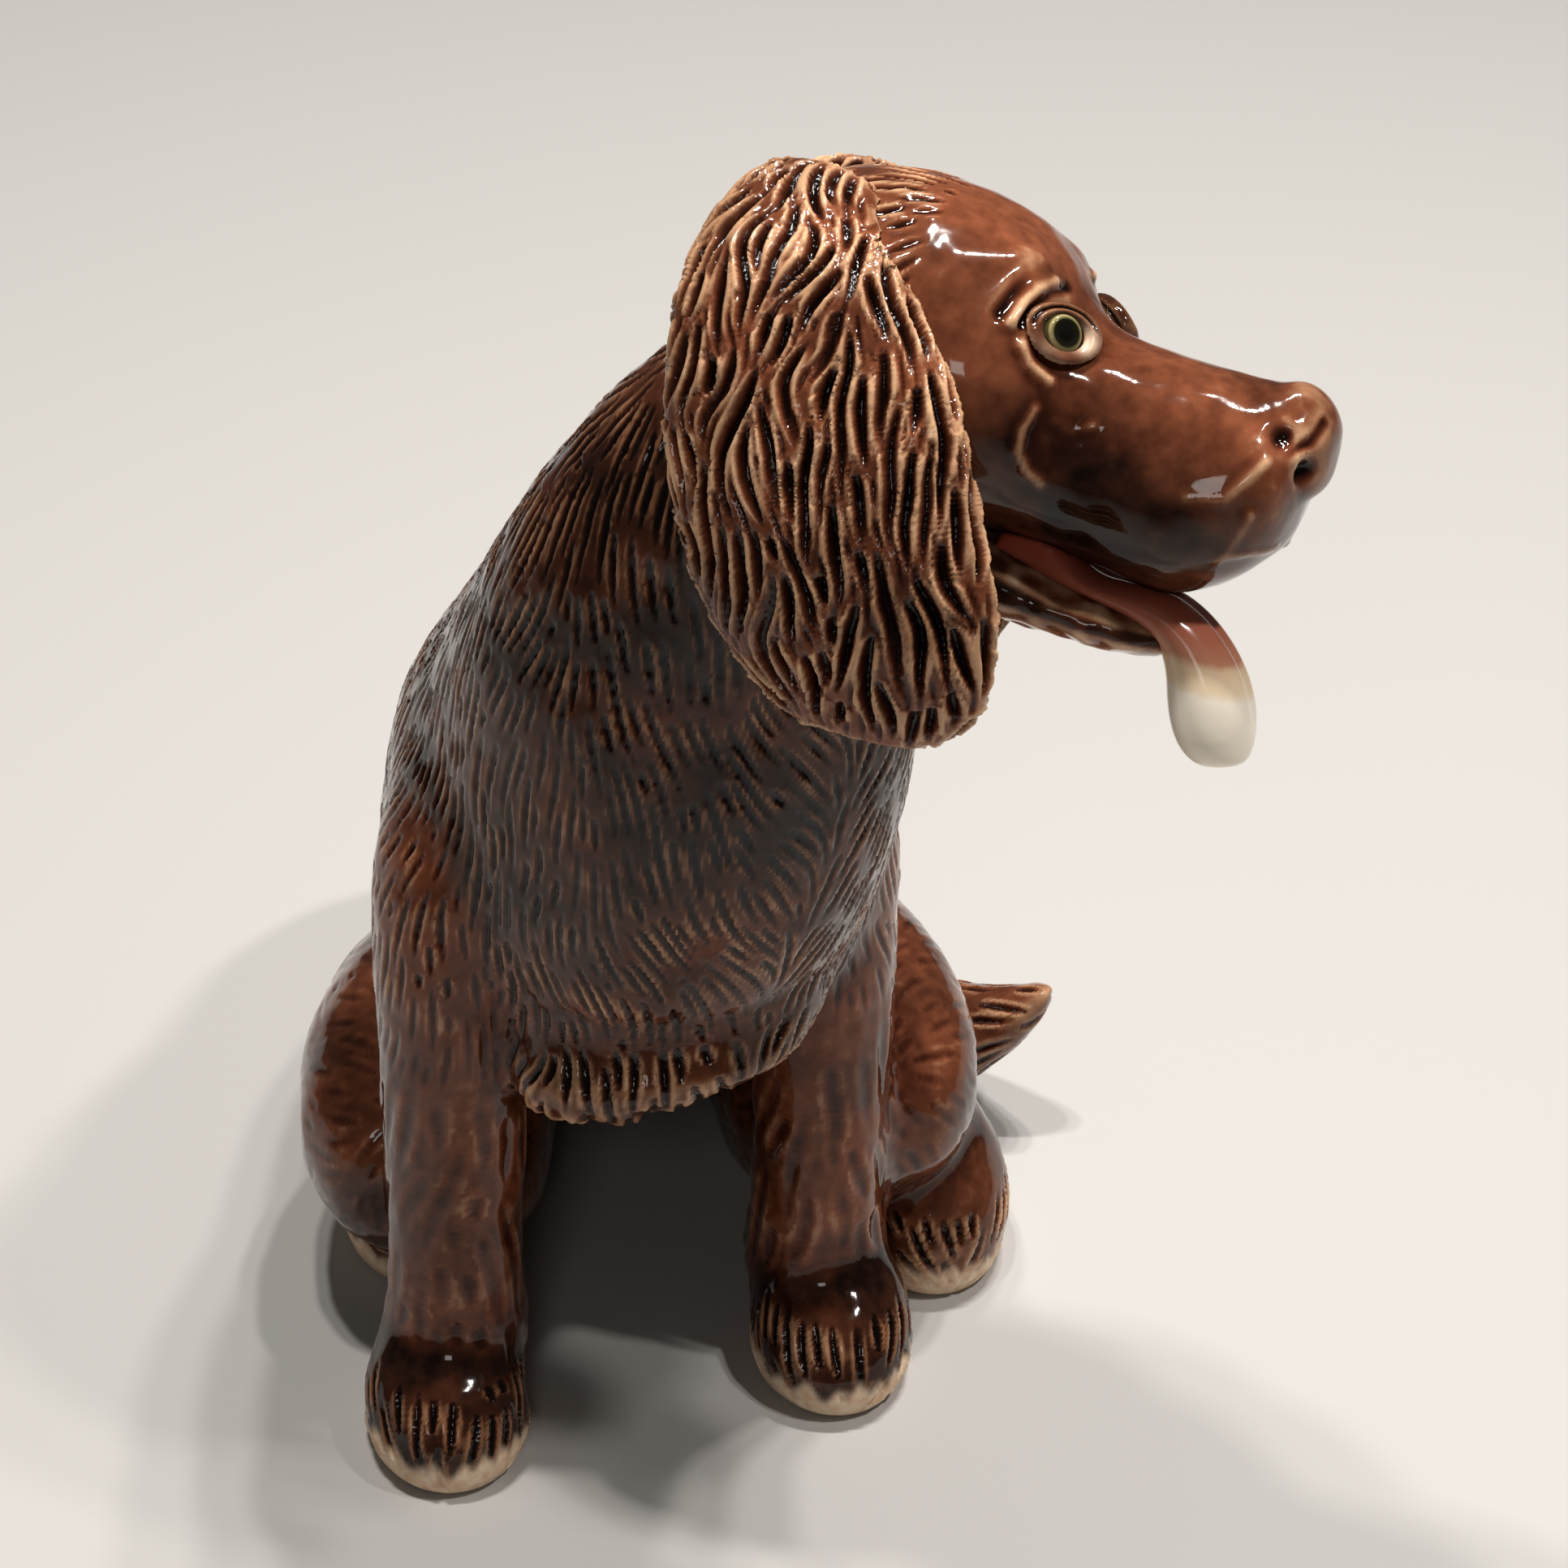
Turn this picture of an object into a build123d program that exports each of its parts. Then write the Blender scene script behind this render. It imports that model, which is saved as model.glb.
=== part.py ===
"""Sitting spaniel ornament in glazed stoneware, hand-built from luted pieces of clay.

Millimetres. +Z is up, the dog's chest faces -Y and its left side is +X. The origin is on the table under the
middle of the figure. Places are first measured from the point on the table between the forepaws, and the
function at() moves them to the origin.
"""

import os

from build123d import *

os.makedirs("parts", exist_ok=True)

# Middle of the figure, from the point between the forepaws
middle_x = 10.4
middle_y = 32.1

# Torso: a hollow pot, leaning forward, that holds the rump, the chest and the neck
torso_x = 0.0
torso_y = 62.0
torso_z = 4.0
torso_width = 43.0
torso_depth = 56.0
torso_length = 112.0
torso_lean = 30.0
torso_turn = 6.0
torso_wall = 5.0
vent_diameter = 9.0
vent_y = 60.0

# Forelegs and forepaws: the legs stand at shares of the torso's width, the paws further out and in front
foreleg_width = 13.6
foreleg_depth = 18.0
foreleg_length = 56.0
foreleg_right_share = -0.3535
foreleg_left_share = 0.3674
foreleg_right_x = torso_width * foreleg_right_share
foreleg_right_y = 14.0
foreleg_left_x = torso_width * foreleg_left_share
foreleg_left_y = 21.0
foreleg_z = 60.0
forepaw_width = 14.2
forepaw_length = 19.0
forepaw_height = 11.0
forepaw_out = 1.6
forepaw_ahead = 8.0

# Fringe: a roll of clay under the chest, between the forelegs
fringe_x = 1.4
fringe_back = 33.3
fringe_y = fringe_back - torso_depth / 2
fringe_z = 42.0
fringe_share = 0.806
fringe_width = (foreleg_left_x - foreleg_right_x) * fringe_share
fringe_depth = 16.0
fringe_height = 8.4

# Haunches and hind feet: the front of a haunch and its outer side place the foot
hip_x = 1.7
haunch_share = 0.14
haunch_x = torso_width * haunch_share
haunch_front = 20.0
haunch_left_z = 18.0
haunch_right_z = 14.4
haunch_width = 23.8
haunch_length = 40.0
haunch_height = 28.5
haunch_y = haunch_front + haunch_length / 2
hind_foot_width = 14.4
hind_foot_length = 19.6
hind_foot_height = 19.0
hind_foot_left_in = 3.1
hind_foot_left_back = 9.0
hind_foot_right_in = 10.6
hind_foot_right_back = 14.0

# Tail
tail_x = 14.0
tail_y = 58.5
tail_z = 6.2
tail_width = 11.8
tail_length = 31.5
tail_swing = 64.0
tail_lift = 2.0

# Head: a ball for the skull that runs out into the muzzle
head_x = 21.3
head_y = 4.0
head_z = 104.6
head_turn = 60.5
head_nod = 2.0
head_tilt = 22.0
head_width = 26.0
head_height = 25.0
head_length = 46.0
skull_back = 17.0

# Nose
nose_forward = 25.2
nose_up = -0.2
nose_width = 8.6
nose_height = 8.8
nose_length = 5.4

# Lower jaw and tongue
jaw_forward = 2.0
jaw_drop = 14.4
jaw_width = 13.0
jaw_height = 7.0
jaw_length = 20.0
tongue_forward = 8.0
tongue_drop = 12.8
tongue_width = 8.0
tongue_fall = 12.4
tongue_length = 19.4
tongue_curl = 75.0

# Eyes and eyelids
eye_forward = 9.6
eye_spread = 12.0
eye_up = 3.6
eye_diameter = 4.2
eye_aside = 50.0
eye_raise = 30.0
eyelid_diameter = 4.5
eyelid_thickness = 1.6
eyelid_lift = 1.1

# Ears
ear_right_forward = -4.0
ear_left_forward = -8.0
ear_left_sway_share = 0.45
ear_right_sway_share = 1.0
ear_spread = 8.0
ear_up = 7.6
ear_width = 25.0
ear_thickness = 6.6
ear_length = 35.2
ear_curl = 75.0

# Rows of shares: how far across, up and along the form each ellipse lies, its width, thickness and bend
torso_shares = (
    (0.02, 0.16, -0.13, 0.33, 0.21, 0.0),
    (0.02, 0.15, -0.09, 0.65, 0.44, 0.0),
    (0.02, 0.14, 0.00, 0.84, 0.64, 0.0),
    (0.02, 0.11, 0.13, 0.93, 0.80, 0.0),
    (0.01, 0.06, 0.29, 0.94, 0.83, 0.2),
    (0.01, -0.05, 0.43, 0.91, 0.82, 0.6),
    (0.01, -0.16, 0.57, 0.95, 0.86, 1.0),
    (0.06, -0.17, 0.68, 0.90, 0.80, 1.0),
    (0.10, -0.14, 0.79, 0.84, 0.64, 1.0),
    (0.16, -0.08, 0.89, 0.76, 0.48, 1.0),
    (0.24, -0.03, 0.98, 0.58, 0.38, 1.0),
    (0.28, -0.01, 1.03, 0.28, 0.20, 1.0),
)
fringe_shares = (
    (0.10, -0.38, -0.50, 0.30, 0.30, 0.0),
    (0.05, -0.36, -0.45, 0.62, 0.62, 0.0),
    (0.00, -0.20, -0.22, 1.00, 0.95, 0.0),
    (0.00, 0.10, 0.18, 1.00, 0.88, 0.0),
    (0.08, 0.24, 0.45, 0.62, 0.60, 0.0),
    (0.12, 0.28, 0.50, 0.30, 0.30, 0.0),
)
foreleg_shares = (
    (-0.36, -0.22, -0.08, 0.30, 0.40, 0.0),
    (-0.26, -0.20, -0.04, 0.66, 0.76, 0.0),
    (-0.12, -0.15, 0.04, 0.94, 1.00, 0.0),
    (0.00, 0.00, 0.20, 1.00, 0.98, 0.0),
    (0.03, 0.11, 0.40, 0.93, 0.83, 0.0),
    (0.04, 0.18, 0.62, 0.87, 0.73, 0.0),
    (0.04, 0.21, 0.82, 0.86, 0.71, 0.0),
    (0.04, 0.22, 1.00, 0.90, 0.75, 0.0),
)
forepaw_shares = (
    (0.0, 0.00, 0.00, 0.90, 0.90, 0.0),
    (0.0, 0.00, 0.20, 1.00, 1.00, 0.0),
    (0.0, 0.01, 0.48, 0.98, 0.96, 0.0),
    (0.0, 0.07, 0.76, 0.88, 0.78, 0.0),
    (0.0, 0.15, 1.00, 0.68, 0.52, 0.0),
)
haunch_shares = (
    (0.04, -0.04, 0.00, 0.40, 0.40, 0.0),
    (0.02, -0.01, 0.10, 0.76, 0.72, 0.0),
    (-0.05, 0.03, 0.34, 1.00, 1.00, 0.0),
    (-0.12, 0.06, 0.61, 0.93, 0.93, 0.0),
    (-0.20, 0.08, 0.82, 0.73, 0.73, 0.0),
    (-0.25, 0.09, 0.95, 0.45, 0.46, 0.0),
    (-0.28, 0.10, 1.00, 0.20, 0.21, 0.0),
)
hind_foot_shares = (
    (0.00, 0.00, 0.00, 0.89, 0.92, 0.0),
    (0.00, 0.00, 0.16, 1.00, 1.00, 0.0),
    (0.00, 0.02, 0.37, 1.00, 0.97, 0.0),
    (-0.08, 0.10, 0.63, 0.88, 0.78, 0.0),
    (-0.15, 0.20, 1.00, 0.76, 0.62, 0.0),
)
tail_shares = (
    (0.0, 0.00, 0.00, 1.00, 1.00, 0.0),
    (0.0, 0.00, 0.44, 1.00, 1.00, 0.0),
    (0.0, 0.07, 0.68, 0.90, 0.90, 0.0),
    (0.0, 0.30, 0.86, 0.64, 0.64, 0.0),
    (0.0, 0.54, 0.96, 0.37, 0.37, 0.0),
    (0.0, 0.66, 1.00, 0.17, 0.17, 0.0),
)
head_shares = (
    (0.0, 0.04, 0.00, 0.30, 0.30, 0.0),
    (0.0, 0.03, 0.04, 0.56, 0.56, 0.0),
    (0.0, 0.03, 0.12, 0.82, 0.82, 0.0),
    (0.0, 0.02, 0.26, 1.00, 0.98, 0.0),
    (0.0, 0.00, 0.41, 1.00, 0.96, 0.0),
    (0.0, -0.05, 0.53, 0.90, 0.86, 0.0),
    (0.0, -0.13, 0.61, 0.73, 0.71, 0.0),
    (0.0, -0.17, 0.70, 0.62, 0.67, 0.0),
    (0.0, -0.19, 0.80, 0.59, 0.69, 0.0),
    (0.0, -0.17, 0.89, 0.56, 0.64, 0.0),
    (0.0, -0.12, 0.96, 0.49, 0.52, 0.0),
    (0.0, -0.08, 1.00, 0.36, 0.36, 0.0),
)
nose_shares = (
    (0.0, 0.00, 0.00, 0.80, 0.80, 0.0),
    (0.0, 0.00, 0.45, 1.00, 1.00, 0.0),
    (0.0, -0.03, 0.80, 0.82, 0.82, 0.0),
    (0.0, -0.05, 1.00, 0.44, 0.44, 0.0),
)
jaw_shares = (
    (0.0, 0.00, 0.00, 1.00, 1.00, 0.0),
    (0.0, -0.18, 0.40, 0.92, 0.76, 0.0),
    (0.0, -0.30, 0.70, 0.78, 0.58, 0.0),
    (0.0, -0.34, 0.92, 0.56, 0.43, 0.0),
    (0.0, -0.34, 1.00, 0.28, 0.23, 0.0),
)
tongue_shares = (
    (0.0, 0.00, 0.00, 1.00, 0.21, 0.0),
    (0.0, -0.07, 0.31, 1.00, 0.24, 0.1),
    (0.0, -0.15, 0.59, 0.94, 0.29, 0.2),
    (0.0, -0.25, 0.75, 0.90, 0.36, 0.5),
    (0.0, -0.44, 0.86, 0.92, 0.46, 0.85),
    (0.0, -0.68, 0.93, 0.92, 0.52, 0.95),
    (0.0, -0.89, 0.98, 0.74, 0.42, 1.0),
    (0.0, -0.98, 1.00, 0.36, 0.20, 1.0),
)
ear_shares = (
    (-0.28, -0.53, -0.045, 0.36, 0.90, -0.9),
    (-0.22, 0.00, 0.00, 0.56, 1.00, -0.8),
    (-0.14, 0.62, 0.12, 0.76, 1.00, -0.55),
    (-0.04, 0.95, 0.29, 0.92, 1.00, -0.25),
    (0.05, 1.06, 0.47, 0.98, 1.00, -0.05),
    (0.13, 1.06, 0.61, 1.00, 0.98, 0.0),
    (0.19, 1.00, 0.73, 0.96, 0.94, 0.08),
    (0.24, 0.92, 0.83, 0.86, 0.86, 0.1),
    (0.28, 0.82, 0.93, 0.64, 0.68, 0.1),
    (0.30, 0.76, 0.985, 0.30, 0.40, 0.1),
)


def at(x, y, z):
    """Moves a place from the layout to the origin under the middle of the figure."""
    return Vector(x - middle_x, y - middle_y, z)


def clay_form(frame, width, depth, length, shares, twist=0, wall=0, curl=0):
    """Lofts a rounded form through ellipses that lie along the frame's normal, thinner by the wall."""
    with BuildPart() as form:
        for across, up, along, wide, thick, bend in shares:
            spot = Location((width * across, depth * up, length * along), (curl * bend, 0, twist * bend))
            with BuildSketch(Plane(frame.location * spot)):
                Ellipse(width * wide / 2 - wall, depth * thick / 2 - wall)
        loft()
    return form.part


def luted(form, *neighbours):
    """Cuts the neighbours out of a form, so that the piece meets them face to face."""
    with BuildPart() as piece:
        add(form)
        for neighbour in neighbours:
            add(neighbour, mode=Mode.SUBTRACT)
    return piece.part.solids().sort_by(SortBy.VOLUME)[-1]


# The frames that the forms are drawn in
up_spine = Vector(0, 0, 1).rotate(Axis.X, torso_lean)
spine = Plane(at(torso_x, torso_y, torso_z), x_dir=(1, 0, 0), z_dir=up_spine)
forward = Vector(0, -1, 0).rotate(Axis.X, head_nod).rotate(Axis.Z, head_turn)
level_left = Vector(1, 0, 0).rotate(Axis.Z, head_turn)
tilted_left = level_left.rotate(Axis((0, 0, 0), forward), -head_tilt)
face = Plane(at(head_x, head_y, head_z), x_dir=tilted_left, z_dir=forward)
tail_line = Vector(0, -1, 0).rotate(Axis.X, -tail_lift).rotate(Axis.Z, tail_swing)
tail_side = Vector(1, 0, 0).rotate(Axis.Z, tail_swing)
wag = Plane(at(tail_x, tail_y, tail_z), x_dir=tail_side, z_dir=tail_line)


def face_frame(side, up, forward):
    """The head's own frame, moved toward the head's left, up and forward."""
    return Plane(face.from_local_coords((side, up, forward)), x_dir=face.x_dir, z_dir=face.z_dir)


def foreleg_form(x, y, side):
    """A foreleg, drawn downward from the shoulder, that leans outward to its own side."""
    frame = Plane(at(x, y, foreleg_z), x_dir=(1, 0, 0), z_dir=(0, 0, -1))
    shares = [(side * across, *others) for across, *others in foreleg_shares]
    return clay_form(frame, foreleg_width, foreleg_depth, foreleg_length, shares)


def haunch_form(side, height):
    """A haunch, drawn outward from the middle of the body to its own side."""
    frame = Plane(at(hip_x + side * haunch_x, haunch_y, height), x_dir=(0, side, 0), z_dir=(side, 0, 0))
    shares = [(side * across, *others) for across, *others in haunch_shares]
    with BuildPart() as form:
        add(clay_form(frame, haunch_length, haunch_height, haunch_width, shares))
        split(bisect_by=Plane.XY, keep=Keep.TOP)
    return form.part


def forepaw_form(leg_x, leg_y, side):
    """A forepaw, drawn upward from its sole, outside and in front of its leg."""
    frame = Plane(at(leg_x + side * forepaw_out, leg_y - forepaw_ahead, 0))
    return clay_form(frame, forepaw_width, forepaw_length, forepaw_height, forepaw_shares)


def hind_foot_form(side, inward, back):
    """A hind foot, drawn upward from its sole, that leans in toward the body under its haunch."""
    reach = haunch_x + haunch_width - inward
    frame = Plane(at(hip_x + side * reach, haunch_front + back, 0))
    shares = [(side * across, *others) for across, *others in hind_foot_shares]
    return clay_form(frame, hind_foot_width, hind_foot_length, hind_foot_height, shares)


def ear_form(side, reach, sway):
    """An ear, drawn downward from its root on top of the head, that curls over to its own side."""
    root = face.from_local_coords((side * ear_spread, ear_up, reach))
    frame = Plane(root, x_dir=forward * -side, z_dir=face.y_dir * -1)
    shares = [(-side * sway * across, *others) for across, *others in ear_shares]
    return clay_form(frame, ear_width, ear_thickness, ear_length, shares, curl=ear_curl)


def eye_frame(side):
    """The middle of an eye, with the normal along its line of sight."""
    centre = face.from_local_coords((side * eye_spread / 2, eye_up, eye_forward))
    gaze = forward.rotate(Axis((0, 0, 0), face.y_dir), side * eye_aside)
    gaze = gaze.rotate(Axis((0, 0, 0), forward), side * eye_raise)
    return Plane(centre, z_dir=gaze)


def eyelid_frame(side):
    """The plane of an eye's lids, in front of the middle of the eye."""
    return eye_frame(side).offset(eyelid_lift)


# Forms before they are cut to each other
with BuildPart() as torso_form:
    add(clay_form(spine, torso_width, torso_depth, torso_length, torso_shares, torso_turn))
    split(bisect_by=Plane.XY, keep=Keep.TOP)

with BuildPart() as cavity:
    inner_shares = torso_shares[2:-2]
    add(clay_form(spine, torso_width, torso_depth, torso_length, inner_shares, torso_turn, torso_wall))
    split(bisect_by=Plane.XY.offset(torso_wall), keep=Keep.TOP)

with BuildPart() as head_form:
    add(clay_form(face_frame(0, 0, -skull_back), head_width, head_height, head_length, head_shares))

with BuildPart() as vent:
    with Locations(at(torso_x, vent_y, torso_wall / 2)):
        Cylinder(vent_diameter / 2, torso_wall * 2)

# Torso: the hollow pot, with a seat for the head and a vent for the kiln under the rump
with BuildPart() as torso:
    add(luted(torso_form.part, head_form.part, cavity.part, vent.part))
torso.part.label = "torso"
export_step(torso.part, "parts/torso.step")

# Eyes: balls of clay pressed into sockets in the head
with BuildPart() as eye_left:
    with Locations(eye_frame(1).location):
        Sphere(eye_diameter / 2)
eye_left.part.label = "eye_left"
export_step(eye_left.part, "parts/eye_left.step")

with BuildPart() as eye_right:
    with Locations(eye_frame(-1).location):
        Sphere(eye_diameter / 2)
eye_right.part.label = "eye_right"
export_step(eye_right.part, "parts/eye_right.step")

# Head: the skull and the upper muzzle in one piece
with BuildPart() as head:
    add(luted(head_form.part, eye_left.part, eye_right.part))
head.part.label = "head"
export_step(head.part, "parts/head.step")

# Eyelids: a thin roll of clay around each eye
with BuildPart() as roll_left:
    with Locations(eyelid_frame(1).location):
        Torus(eyelid_diameter / 2, eyelid_thickness / 2)

with BuildPart() as eyelids_left:
    add(luted(roll_left.part, head_form.part, eye_left.part))
eyelids_left.part.label = "eyelids_left"
export_step(eyelids_left.part, "parts/eyelids_left.step")

with BuildPart() as roll_right:
    with Locations(eyelid_frame(-1).location):
        Torus(eyelid_diameter / 2, eyelid_thickness / 2)

with BuildPart() as eyelids_right:
    add(luted(roll_right.part, head_form.part, eye_right.part))
eyelids_right.part.label = "eyelids_right"
export_step(eyelids_right.part, "parts/eyelids_right.step")

# Nose, lower jaw and tongue
with BuildPart() as nose:
    nose_base = face_frame(0, nose_up, nose_forward)
    nose_form = clay_form(nose_base, nose_width, nose_height, nose_length, nose_shares)
    add(luted(nose_form, head_form.part))
nose.part.label = "nose"
export_step(nose.part, "parts/nose.step")

with BuildPart() as lower_jaw:
    jaw_base = face_frame(0, -jaw_drop, jaw_forward)
    jaw_form = clay_form(jaw_base, jaw_width, jaw_height, jaw_length, jaw_shares)
    add(luted(jaw_form, head_form.part, torso_form.part))
lower_jaw.part.label = "lower_jaw"
export_step(lower_jaw.part, "parts/lower_jaw.step")

with BuildPart() as tongue:
    tongue_base = face_frame(0, -tongue_drop, tongue_forward)
    tongue_sizes = (tongue_width, tongue_fall, tongue_length)
    tongue_form = clay_form(tongue_base, *tongue_sizes, tongue_shares, curl=tongue_curl)
    add(luted(tongue_form, head_form.part, lower_jaw.part, torso_form.part))
tongue.part.label = "tongue"
export_step(tongue.part, "parts/tongue.step")

# Ears
with BuildPart() as ear_left:
    left_form = ear_form(1, ear_left_forward, ear_left_sway_share)
    add(luted(left_form, head_form.part, torso_form.part, lower_jaw.part))
ear_left.part.label = "ear_left"
export_step(ear_left.part, "parts/ear_left.step")

with BuildPart() as ear_right:
    right_form = ear_form(-1, ear_right_forward, ear_right_sway_share)
    add(luted(right_form, head_form.part, torso_form.part, lower_jaw.part))
ear_right.part.label = "ear_right"
export_step(ear_right.part, "parts/ear_right.step")

# Forepaws, and the forelegs that stand on them and are pressed against the chest
with BuildPart() as forepaw_left:
    add(forepaw_form(foreleg_left_x, foreleg_left_y, 1))
forepaw_left.part.label = "forepaw_left"
export_step(forepaw_left.part, "parts/forepaw_left.step")

with BuildPart() as forepaw_right:
    add(forepaw_form(foreleg_right_x, foreleg_right_y, -1))
forepaw_right.part.label = "forepaw_right"
export_step(forepaw_right.part, "parts/forepaw_right.step")

with BuildPart() as foreleg_left:
    add(luted(foreleg_form(foreleg_left_x, foreleg_left_y, 1), forepaw_left.part, torso_form.part))
foreleg_left.part.label = "foreleg_left"
export_step(foreleg_left.part, "parts/foreleg_left.step")

with BuildPart() as foreleg_right:
    add(luted(foreleg_form(foreleg_right_x, foreleg_right_y, -1), forepaw_right.part, torso_form.part))
foreleg_right.part.label = "foreleg_right"
export_step(foreleg_right.part, "parts/foreleg_right.step")

# Haunches, pressed against the torso and the forelegs, and the hind feet under them
with BuildPart() as haunch_left:
    add(luted(haunch_form(1, haunch_left_z), torso_form.part, foreleg_left.part, forepaw_left.part))
haunch_left.part.label = "haunch_left"
export_step(haunch_left.part, "parts/haunch_left.step")

with BuildPart() as haunch_right:
    add(luted(haunch_form(-1, haunch_right_z), torso_form.part, foreleg_right.part, forepaw_right.part))
haunch_right.part.label = "haunch_right"
export_step(haunch_right.part, "parts/haunch_right.step")

with BuildPart() as hind_foot_left:
    foot_form = hind_foot_form(1, hind_foot_left_in, hind_foot_left_back)
    add(luted(foot_form, haunch_left.part, torso_form.part, foreleg_left.part, forepaw_left.part))
hind_foot_left.part.label = "hind_foot_left"
export_step(hind_foot_left.part, "parts/hind_foot_left.step")

with BuildPart() as hind_foot_right:
    foot_form = hind_foot_form(-1, hind_foot_right_in, hind_foot_right_back)
    add(luted(foot_form, haunch_right.part, torso_form.part, foreleg_right.part, forepaw_right.part))
hind_foot_right.part.label = "hind_foot_right"
export_step(hind_foot_right.part, "parts/hind_foot_right.step")

# Fringe under the chest, pressed between the forelegs
with BuildPart() as chest_fringe:
    fringe_frame = Plane(at(fringe_x, fringe_y, fringe_z), x_dir=(0, 1, 0), z_dir=(1, 0, 0))
    fringe_form = clay_form(fringe_frame, fringe_depth, fringe_height, fringe_width, fringe_shares)
    add(luted(fringe_form, torso_form.part, foreleg_left.part, foreleg_right.part))
chest_fringe.part.label = "chest_fringe"
export_step(chest_fringe.part, "parts/chest_fringe.step")

# Tail
with BuildPart() as tail:
    tail_form = clay_form(wag, tail_width, tail_width, tail_length, tail_shares)
    add(luted(tail_form, torso_form.part, haunch_left.part))
tail.part.label = "tail"
export_step(tail.part, "parts/tail.step")
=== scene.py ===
# %% [markdown]
# # A sitting spaniel in glazed stoneware
#
# The figure is hand-built: balls, rolls and slabs of clay are luted together with slip, the coat is cut into the
# damp clay with a small tool, and one glossy brown glaze runs over everything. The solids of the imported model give
# the smooth clay forms. This lesson blends them as a potter does, cuts the coat and lays the glaze.

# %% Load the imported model
import math

import bpy
import numpy as np
from mathutils import Matrix, Quaternion, Vector, kdtree, noise


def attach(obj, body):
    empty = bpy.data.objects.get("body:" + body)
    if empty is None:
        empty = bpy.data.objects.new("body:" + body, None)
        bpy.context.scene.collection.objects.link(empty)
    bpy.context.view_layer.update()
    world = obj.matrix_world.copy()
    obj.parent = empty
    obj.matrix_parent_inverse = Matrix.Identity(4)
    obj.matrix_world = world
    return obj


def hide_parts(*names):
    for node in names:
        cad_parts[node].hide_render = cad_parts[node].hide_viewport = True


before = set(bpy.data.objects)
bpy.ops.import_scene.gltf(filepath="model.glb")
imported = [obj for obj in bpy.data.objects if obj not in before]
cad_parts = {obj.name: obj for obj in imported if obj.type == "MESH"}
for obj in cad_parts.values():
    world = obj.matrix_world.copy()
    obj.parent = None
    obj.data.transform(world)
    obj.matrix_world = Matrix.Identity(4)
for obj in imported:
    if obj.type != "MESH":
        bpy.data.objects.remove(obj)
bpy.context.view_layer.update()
MM = 0.001
print("nodes:", len(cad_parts))

# %% [markdown]
# ## Places
#
# Places are in millimetres, measured as in the part's source from the point on the table between the forepaws. The
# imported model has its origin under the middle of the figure, so one vector leads from one to the other. The head
# has its own frame, because it is turned to the dog's left, nods a little and is tilted.

# %% The figure's own places
middle = np.array((10.4, 32.1, 0.0))
head_middle = np.array((21.3, 4.0, 104.6))
head_turn = 60.5
head_nod = 2.0
head_tilt = 22.0

turn = Matrix.Rotation(math.radians(head_turn), 3, "Z")
nod = Matrix.Rotation(math.radians(head_nod), 3, "X")
head_forward = turn @ nod @ Vector((0, -1, 0))
tilt = Matrix.Rotation(math.radians(-head_tilt), 3, head_forward)
head_left = tilt @ turn @ Vector((1, 0, 0))
head_axes = np.array((head_left, head_forward.cross(head_left), head_forward))


def row_place(place):
    """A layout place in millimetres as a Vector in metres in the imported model's frame."""
    return Vector((np.asarray(place, dtype=float) - middle) * MM)


def head_place(left, up, forward):
    """A layout place from the head's own left, up and forward."""
    return head_middle + np.array((left, up, forward)) @ head_axes


print("the nose is near", head_place(0, 0, 30).round(1))

# %% [markdown]
# ## Camera
#
# The photograph looks down at about 33 degrees, a little from the dog's right, with a long lens, and the picture is
# rolled two degrees. A pinhole worked out from the paws and the head gives the place and the focal length.

# %% Camera
image_side = 1932
focal_length = 5605
sensor = 36.0
camera_from = (-31.6, -294.0, 262.0)
camera_to = (12.8, 21.6, 55.0)
camera_roll = 2.0

bpy.ops.object.camera_add(location=row_place(camera_from))
camera = bpy.context.object
sight = row_place(camera_to) - row_place(camera_from)
camera.rotation_mode = "QUATERNION"
camera.rotation_quaternion = sight.to_track_quat("-Z", "Y") @ Quaternion((0, 0, 1), math.radians(camera_roll))
camera.data.sensor_width = sensor
camera.data.lens = sensor * focal_length / image_side
camera.data.clip_start = 0.01
bpy.context.scene.camera = camera
print("lens", round(camera.data.lens, 1), "mm")

# %% [markdown]
# ## Table and light
#
# The figure stands on a white table under small ceiling lamps, so the glaze shows crisp points of light from above
# and a milky reflection of the table from below. The lamps stand a little behind the dog, as the shadows in front
# of it show, and a small soft panel in front keeps the chest readable. The rest of the room stays dim.

# %% Table
table_side = 4.0


def linear(code):
    """An sRGB hex colour as linear red, green, blue and alpha."""
    shares = [int(code[i : i + 2], 16) / 255 for i in (1, 3, 5)]
    return [s / 12.92 if s <= 0.04045 else ((s + 0.055) / 1.055) ** 2.4 for s in shares] + [1.0]


def add_node(tree, kind, inputs=(), **settings):
    """Adds a shader node, sets its properties and fills or links its inputs."""
    node = tree.nodes.new(kind)
    for key, value in settings.items():
        setattr(node, key, value)
    for key, value in dict(inputs).items():
        if isinstance(value, bpy.types.NodeSocket):
            tree.links.new(value, node.inputs[key])
        else:
            node.inputs[key].default_value = value
    return node


bpy.ops.mesh.primitive_plane_add(size=table_side)
table = bpy.context.object
table.name = "table"
table_paint = bpy.data.materials.new("white_table_paint")
table_paint.use_nodes = True
paint = table_paint.node_tree.nodes["Principled BSDF"]
paint.inputs["Base Color"].default_value = linear("#b4b3b1")
paint.inputs["Roughness"].default_value = 0.55
table.data.materials.append(table_paint)
print("table", table_side, "m")

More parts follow.
